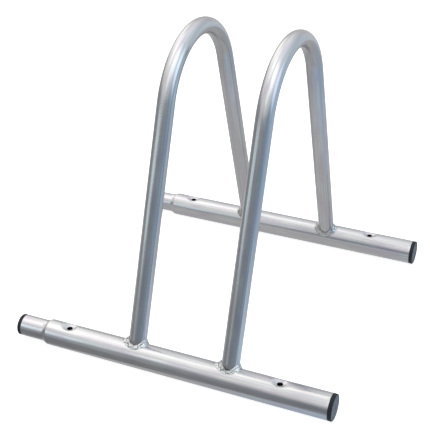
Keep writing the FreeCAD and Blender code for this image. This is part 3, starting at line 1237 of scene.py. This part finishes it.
@dataclass
class PushInEnd:
    """A moulded tube end: a rounded head against the tube's end, and a hollow barbed insert in its bore."""

    row: Row
    end: TubeEnd
    layout: StandLayout
    tube_wall: float
    head_rounding: float = 1.5 * MM
    face_crown: float = 0.35 * MM
    gate_radius: float = 1.6 * MM
    gate_depth: float = 0.35 * MM
    gate_taper: float = 0.8
    insert: float = 22.0 * MM
    insert_clearance: float = 0.05 * MM
    insert_wall: float = 2.0 * MM
    floor: float = 2.5 * MM
    barb_count: int = 4
    barb_height: float = 1.6 * MM
    barb_tip: float = 1.2 * MM
    barb_root: float = 0.3 * MM
    sides: int = 96

    def __post_init__(self) -> None:
        """Works out the moulding's radii and where its head stands."""
        at_socket = self.end is TubeEnd.SOCKET
        tube_r = self.layout.rail_r if at_socket else self.layout.spigot_r
        self.head = self.layout.head
        self.head_r = tube_r
        self.barb_r = tube_r - self.tube_wall - self.insert_clearance
        self.core_r = self.barb_r - self.barb_height
        self.cavity_r = self.core_r - self.insert_wall
        end_x = self.layout.mouth_x if at_socket else self.layout.spigot_end_x
        outward = 0 if at_socket else math.pi
        start = Vector((end_x, self.layout.rail_y[self.row], self.layout.rail_r))
        self.place = Matrix.Translation(start) @ Matrix.Rotation(outward, 4, "Z")

    def body_profile(self) -> list[tuple[float, float]]:
        """The half profile of the head, core and cavity, with a gate mark in the middle of the face.

        Returns:
            Points as distance out of the tube and radius.
        """
        corner_steps = 6
        face_steps = 8
        flat_r = self.head_r - self.head_rounding
        inside = self.head - self.floor
        profile = [(inside, 0), (inside, self.cavity_r)]
        profile += [(-self.insert, self.cavity_r), (-self.insert, self.core_r)]
        profile += [(0, self.core_r), (0, self.head_r)]
        for step in range(corner_steps + 1):
            turn = math.pi / 2 * step / corner_steps
            along = self.head - self.head_rounding * (1 - math.sin(turn)) - self.face_crown
            profile.append((along, flat_r + self.head_rounding * math.cos(turn)))
        for step in range(1, face_steps + 1):
            radius = flat_r + (self.gate_radius - flat_r) * step / face_steps
            profile.append((self.head - self.face_crown * (radius / flat_r) ** 2, radius))
        gate_floor = self.head - self.gate_depth
        profile += [(gate_floor, self.gate_radius * self.gate_taper), (gate_floor, 0)]
        return profile

    def barb_profile(self) -> list[tuple[float, float]]:
        """The section of one barb, steep towards the head and sloping towards the insert's end.

        Returns:
            Points as distance out of the tube and radius.
        """
        back = -self.insert / self.barb_count / 2
        root_r = self.core_r - self.barb_root
        outside = [(back, self.core_r), (-self.barb_tip, self.barb_r), (0, self.barb_r)]
        return [(back, root_r), *outside, (0, root_r)]

    @staticmethod
    def tree() -> ShapeTree:
        """Makes the tree that sets barbs along an insert.

        Returns:
            The tree.
        """
        sizes = {"Barb": "Object", "Barb Count": "Int", "First": "Vector", "Step": "Vector"}
        shape = ShapeTree("barbed_insert", sizes)
        tree, inputs = shape.tree, shape.inputs
        feeds = {"Count": inputs["Barb Count"], "Start Location": inputs["First"], "Offset": inputs["Step"]}
        spots = add_node(tree, "GeometryNodeMeshLine", feeds, mode="OFFSET")
        feeds = {"Object": inputs["Barb"]}
        barb = add_node(tree, "GeometryNodeObjectInfo", feeds, transform_space="ORIGINAL")
        feeds = {"Points": spots, "Instance": barb.outputs["Geometry"]}
        laid = add_node(tree, "GeometryNodeInstanceOnPoints", feeds)
        joined = add_node(tree, "GeometryNodeJoinGeometry", {"Geometry": inputs["Geometry"]})
        tree.links.new(laid.outputs["Instances"], joined.inputs["Geometry"])
        shape.end(joined)
        return shape

    def build(self, shape: ShapeTree, material: bpy.types.Material) -> bpy.types.Object:
        """Makes the moulding.

        Args:
            shape: The tree from tree().
            material: Its finish.

        Returns:
            The moulding's object.
        """
        sharp_edge = math.radians(35)
        node = f"{self.row.value}_{self.end.value}"
        name = f"{node}_moulding"
        turning = self.place.to_3x3().to_4x4()
        ring = turned_mesh("barb", self.barb_profile(), turning, self.sides, closed=True)
        barb = new_object(ring.name, ring)
        moulding = new_object(name, turned_mesh(name, self.body_profile(), self.place, self.sides))
        pitch = self.insert / self.barb_count
        values = {
            "Barb": barb,
            "Barb Count": self.barb_count,
            "First": self.place @ Vector((-pitch / 2, 0, 0)),
            "Step": turning @ Vector((-pitch, 0, 0)),
            "Material": material,
        }
        shape.put_on(moulding, values)
        settle(moulding)
        bpy.data.meshes.remove(barb.data)
        moulding.data.set_sharp_from_angle(angle=sharp_edge)
        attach(moulding, node)
        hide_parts(node)
        return moulding


@dataclass(frozen=True)
class Softbox:
    """A soft light, by where it stands, its size, how bright it looks and if the metal mirrors it."""

    name: str
    place: tuple[float, float, float]
    width: float
    height: float
    brightness: float
    colour: str
    mirrored: bool

    def hang(self, aim: Vector) -> None:
        """Hangs the light.

        Args:
            aim: What it is turned to.
        """
        light = bpy.data.lights.new(self.name, "AREA")
        light.shape = "RECTANGLE"
        light.size = self.width
        light.size_y = self.height
        light.energy = self.brightness * math.pi * self.width * self.height
        light.color = linear(self.colour)[:3]
        lamp = bpy.data.objects.new(self.name, light)
        lamp.location = self.place
        lamp.rotation_mode = "QUATERNION"
        lamp.rotation_quaternion = (aim - Vector(self.place)).to_track_quat("-Z", "Y")
        lamp.visible_glossy = self.mirrored
        lamp.visible_camera = False
        bpy.context.scene.collection.objects.link(lamp)


@dataclass(frozen=True)
class Glow:
    """A soft-edged patch of light in the surroundings, by its direction and its extent, in degrees."""

    azimuth: float
    elevation: float
    core: float
    reach: float
    brightness: float
    colour: str


@dataclass(frozen=True)
class Studio:
    """A plain pale floor, soft light all round and from above, and the camera.

    Under the stand lies a dimmer card that only the metal mirrors. It is cooler to the right, and has a
    bright, cool patch just behind the front rail, to light the right flanks of the legs.
    """

    floor_half: float = 60.0
    floor_drop: float = 0.2 * MM
    floor_colour: str = "#dcdcdc"
    floor_glow: float = 0.72
    card_half_width: float = 0.9
    card_front_left: float = -0.2034
    card_front_right: float = -0.3154
    card_back: float = 1.2
    card_glow: float = 0.56
    card_left: str = "#fdfdfd"
    card_right: str = "#d4e9ff"
    card_right_glow: float = 1.32
    card_right_way: tuple[float, float, float] = (1.0, -0.35, 0.0)
    patch_colour: str = "#dcedff"
    patch_glow: float = 1.5
    patch_front: float = -0.23
    front_floor: str = "#8a8c8f"
    cool_side: str = "#f0f8ff"
    ceiling_by_height: tuple[tuple[float, float], ...] = (
        (0.1, 0.35),
        (0.3, 0.7),
        (0.5, 0.84),
        (0.8, 1.0),
        (1.0, 1.05),
    )
    ring_by_azimuth: tuple[tuple[float, str], ...] = (
        (-180, "#d3d4d4"),
        (-140, "#bfbfbe"),
        (-95, "#9a9b9b"),
        (-55, "#999c9d"),
        (-28, "#b4babc"),
        (-12, "#848b92"),
        (21, "#828e9a"),
        (44, "#8b9bab"),
        (68, "#93a8bb"),
        (95, "#a6bed4"),
        (127, "#c8dcec"),
        (160, "#d6e0ea"),
        (180, "#d3d4d4"),
    )
    aim: tuple[float, float, float] = (0.0, 0.0, 0.2)
    camera_place: tuple[float, float, float] = (0.5514, -1.3322, 0.9504)
    azimuth: float = 23.45
    elevation: float = 28.86
    focal_pixels: float = 1025.94
    image_pixels: int = 430
    sensor: float = 36.0
    softboxes: tuple[Softbox, ...] = (
        Softbox("key_light", (-1.6, -1.2, 2.6), 1.6, 1.6, 1.2, "#fffaf4", False),
        Softbox("fill_light", (1.8, -1.4, 1.8), 1.4, 1.4, 0.8, "#eef6ff", False),
        Softbox("front_left_window", (-0.72, -0.835, 0.33), 0.47, 0.36, 0.62, "#d8f2f8", True),
        Softbox("front_strip", (-0.31, -0.835, 0.46), 0.06, 0.24, 1.0, "#d8f2f8", True),
    )
    glows: tuple[Glow, ...] = (
        Glow(-78, 57, 6, 21, 0.55, "#fff8f0"),
        Glow(-117, 61, 6, 21, 0.55, "#fff8f0"),
        Glow(42, 66, 9, 30, 0.85, "#f8fcff"),
        Glow(-47, 18, 4, 17, 0.2, "#dcf3f8"),
        Glow(-86, 24, 5, 19, 0.3, "#fffdf8"),
        Glow(-126, 26, 6, 28, 0.65, "#fffcf6"),
        Glow(92, 22, 6, 26, 0.9, "#cfeaff"),
        Glow(0, 42, 3, 14, 0.45, "#ffffff"),
        Glow(165, 58, 8, 30, 0.17, "#e8f2ff"),
    )
    CARD_RIGHT_LIMITS: ClassVar[Limits] = {"From Min": 0.11, "From Max": 0.44}
    PATCH_X_LIMITS: ClassVar[Limits] = {"From Min": -0.08, "From Max": 0.04}
    PATCH_Y_LIMITS: ClassVar[Limits] = {"From Min": 0.02, "From Max": -0.16}
    COOL_LIMITS: ClassVar[Limits] = {"From Min": -0.1, "From Max": 0.5}
    CEILING_LIMITS: ClassVar[Limits] = {"From Min": 0.08, "From Max": 0.46}
    FLOOR_LIMITS: ClassVar[Limits] = {"From Min": -0.03, "From Max": -0.35}
    FRONT_LIMITS: ClassVar[Limits] = {"From Min": 0.0, "From Max": -0.5}

    def level_sheet(self, name: str, corners: list[Vector], colour: str, glow: float) -> bpy.types.Object:
        """Lays a flat sheet with a faint glow of its own, as a lit table has.

        Args:
            name: The sheet's name.
            corners: Its corners, anticlockwise from above.
            colour: What it looks like.
            glow: How bright it is unlit.

        Returns:
            The sheet's object.
        """
        sheet = new_object(name, new_mesh(name, corners, [(0, 1, 2, 3)]))
        material, _, shader = new_material(f"{name}_surface")
        shader.inputs["Base Color"].default_value = linear(colour)
        shader.inputs["Roughness"].default_value = 1.0
        shader.inputs["Specular IOR Level"].default_value = 0.0
        shader.inputs["Emission Strength"].default_value = glow
        sheet.data.materials.append(material)
        return sheet

    def build_floor(self) -> None:
        """Lays the floor, and under the stand the card."""
        half = self.floor_half
        around = [(-half, -half), (half, -half), (half, half), (-half, half)]
        corners = [Vector((x, y, -self.floor_drop)) for x, y in around]
        floor = self.level_sheet("floor", corners, self.floor_colour, self.floor_glow)
        floor.visible_glossy = False
        side = self.card_half_width
        around = [(-side, self.card_front_left), (side, self.card_front_right)]
        around += [(side, self.card_back), (-side, self.card_back)]
        corners = [Vector((x, y, -self.floor_drop / 2)) for x, y in around]
        card = self.level_sheet("bounce_card", corners, "#000000", self.card_glow)
        card.visible_camera = False
        card.visible_diffuse = False
        card.visible_shadow = False
        tree = card.active_material.node_tree
        place = add_node(tree, "ShaderNodeTexCoord").outputs["Object"]
        to_right = add_node(tree, VECTOR_MATH, {0: place, 1: self.card_right_way}, operation="DOT_PRODUCT")
        rightward = add_node(tree, MAP_RANGE, {"Value": to_right.outputs["Value"]} | self.CARD_RIGHT_LIMITS)
        bright = Vector(linear(self.card_right)) * self.card_right_glow
        feeds = {"Factor": rightward, "A": linear(self.card_left), "B": bright}
        tint = add_node(tree, MIX, feeds, data_type="RGBA")
        parts = add_node(tree, "ShaderNodeSeparateXYZ", {"Vector": place}).outputs
        near, beside = (
            add_node(tree, MAP_RANGE, {"Value": parts[axis]} | limits, interpolation_type="SMOOTHSTEP")
            for axis, limits in (("Y", self.PATCH_Y_LIMITS), ("X", self.PATCH_X_LIMITS))
        )
        behind = add_node(tree, MATH, {0: parts["Y"], 1: self.patch_front}, operation="GREATER_THAN")
        corner = add_node(tree, MATH, {0: near, 1: beside}, operation="MULTIPLY")
        share = add_node(tree, MATH, {0: corner, 1: behind}, operation="MULTIPLY")
        patch = Vector(linear(self.patch_colour)) * self.patch_glow
        bounce = add_node(tree, MIX, {"Factor": share, "A": tint, "B": patch}, data_type="RGBA")
        tree.links.new(bounce.outputs["Result"], tree.nodes["Principled BSDF"].inputs["Emission Color"])

    def build_world(self) -> None:
        """Makes the surroundings: a ring at eye level that is dim in front, and a bright ceiling."""
        world = bpy.data.worlds.new("studio")
        bpy.context.scene.world = world
        world.use_nodes = True
        tree = world.node_tree
        way = add_node(tree, "ShaderNodeTexCoord").outputs["Generated"]
        parts = add_node(tree, "ShaderNodeSeparateXYZ", {"Vector": way}).outputs
        ahead = add_node(tree, MATH, {0: parts["Y"], 1: -1.0}, operation="MULTIPLY")
        angle = add_node(tree, MATH, {0: parts["X"], 1: ahead}, operation="ARCTAN2")
        feeds = {"Value": angle, "From Min": -math.pi, "From Max": math.pi}
        ring = add_node(tree, "ShaderNodeValToRGB", {"Fac": add_node(tree, MAP_RANGE, feeds)})
        ceiling = add_node(tree, "ShaderNodeValToRGB", {"Fac": parts["Z"]})
        ring_stops = [((degrees + 180) / 360, linear(colour)) for degrees, colour in self.ring_by_azimuth]
        ceiling_stops = [(height, (light, light, light, 1)) for height, light in self.ceiling_by_height]
        for ramp, stops in ((ring, ring_stops), (ceiling, ceiling_stops)):
            elements = ramp.color_ramp.elements
            while len(elements) < len(stops):
                elements.new(0.5)
            for element, (position, colour) in zip(elements, stops):
                element.position = position
                element.color = colour
        regions = (
            ("X", self.COOL_LIMITS),
            ("Z", self.CEILING_LIMITS),
            ("Z", self.FLOOR_LIMITS),
            ("Y", self.FRONT_LIMITS),
        )
        rightward, rise, fall, forward = (
            add_node(tree, MAP_RANGE, {"Value": parts[axis]} | limits, interpolation_type="SMOOTHSTEP")
            for axis, limits in regions
        )
        feeds = {"Factor": rightward, "A": ceiling, "B": linear(self.cool_side)}
        tinted = add_node(tree, MIX, feeds, data_type="RGBA", blend_type="MULTIPLY")
        room = add_node(tree, MIX, {"Factor": rise, "A": ring, "B": tinted}, data_type="RGBA")
        dim = add_node(tree, MATH, {0: fall, 1: forward}, operation="MULTIPLY")
        feeds = {"Factor": dim, "A": room, "B": linear(self.front_floor)}
        around = add_node(tree, MIX, feeds, data_type="RGBA")
        for glow in self.glows:
            middle = direction(glow.azimuth, glow.elevation)
            near = add_node(tree, VECTOR_MATH, {0: way, 1: middle}, operation="DOT_PRODUCT")
            edge, core = math.cos(math.radians(glow.reach)), math.cos(math.radians(glow.core))
            feeds = {"Value": near.outputs["Value"], "From Min": edge, "From Max": core}
            share = add_node(tree, MAP_RANGE, feeds, interpolation_type="SMOOTHSTEP")
            light = Vector(linear(glow.colour)) * glow.brightness
            feeds = {"Factor": share, "A": around, "B": light}
            around = add_node(tree, MIX, feeds, data_type="RGBA", blend_type="ADD")
        tree.links.new(around.outputs["Result"], tree.nodes["Background"].inputs["Color"])

    def build_camera(self) -> None:
        """Sets the camera where the photograph was taken from."""
        back = direction(self.azimuth, self.elevation)
        data = bpy.data.cameras.new("camera")
        data.sensor_width = self.sensor
        data.lens = self.focal_pixels / self.image_pixels * self.sensor
        camera = bpy.data.objects.new("camera", data)
        camera.location = self.camera_place
        camera.rotation_mode = "QUATERNION"
        camera.rotation_quaternion = (-back).to_track_quat("-Z", "Y")
        bpy.context.scene.collection.objects.link(camera)
        bpy.context.scene.camera = camera

    def build(self) -> None:
        """Builds the studio and sets plain colour output."""
        self.build_floor()
        self.build_world()
        for softbox in self.softboxes:
            softbox.hang(Vector(self.aim))
        self.build_camera()
        bpy.context.scene.view_settings.view_transform = "Standard"


def report(piece: bpy.types.Object) -> None:
    """Logs a finished piece."""
    LOG.info("%s: %d faces", piece.name, len(piece.data.polygons))


def main() -> None:
    """Builds the studio and every piece of the stand."""
    logging.basicConfig(level=logging.INFO, format="%(name)s %(message)s")
    layout = StandLayout.from_frame(frame["record"])
    line = LegLine(layout)
    zinc = ZincPlatedTube().material()
    bead_metal = PlatedWeldMetal().material()
    plastic = MouldedPolyethylene().material()
    Studio().build()

    pieces_apart = 1.0
    barbed_insert = PushInEnd.tree()
    for number, row in enumerate(Row):
        report(GroundRail(row, layout, number * pieces_apart).build(zinc))
        for end in TubeEnd:
            report(PushInEnd(row, end, layout, GroundRail.wall).build(barbed_insert, plastic))
    bent_tube = Hoop.tree()
    weld_passes = WeldBead.tree()
    for number, side in enumerate(Side):
        offset = (len(Row) + number) * pieces_apart
        report(Hoop(side, layout, line, offset).build(bent_tube, zinc))
        for row_number, row in enumerate(Row):
            seed = number * len(Row) + row_number
            report(WeldBead(row, side, layout, line, seed).build(weld_passes, bead_metal))


if __name__ == "__main__":
    main()
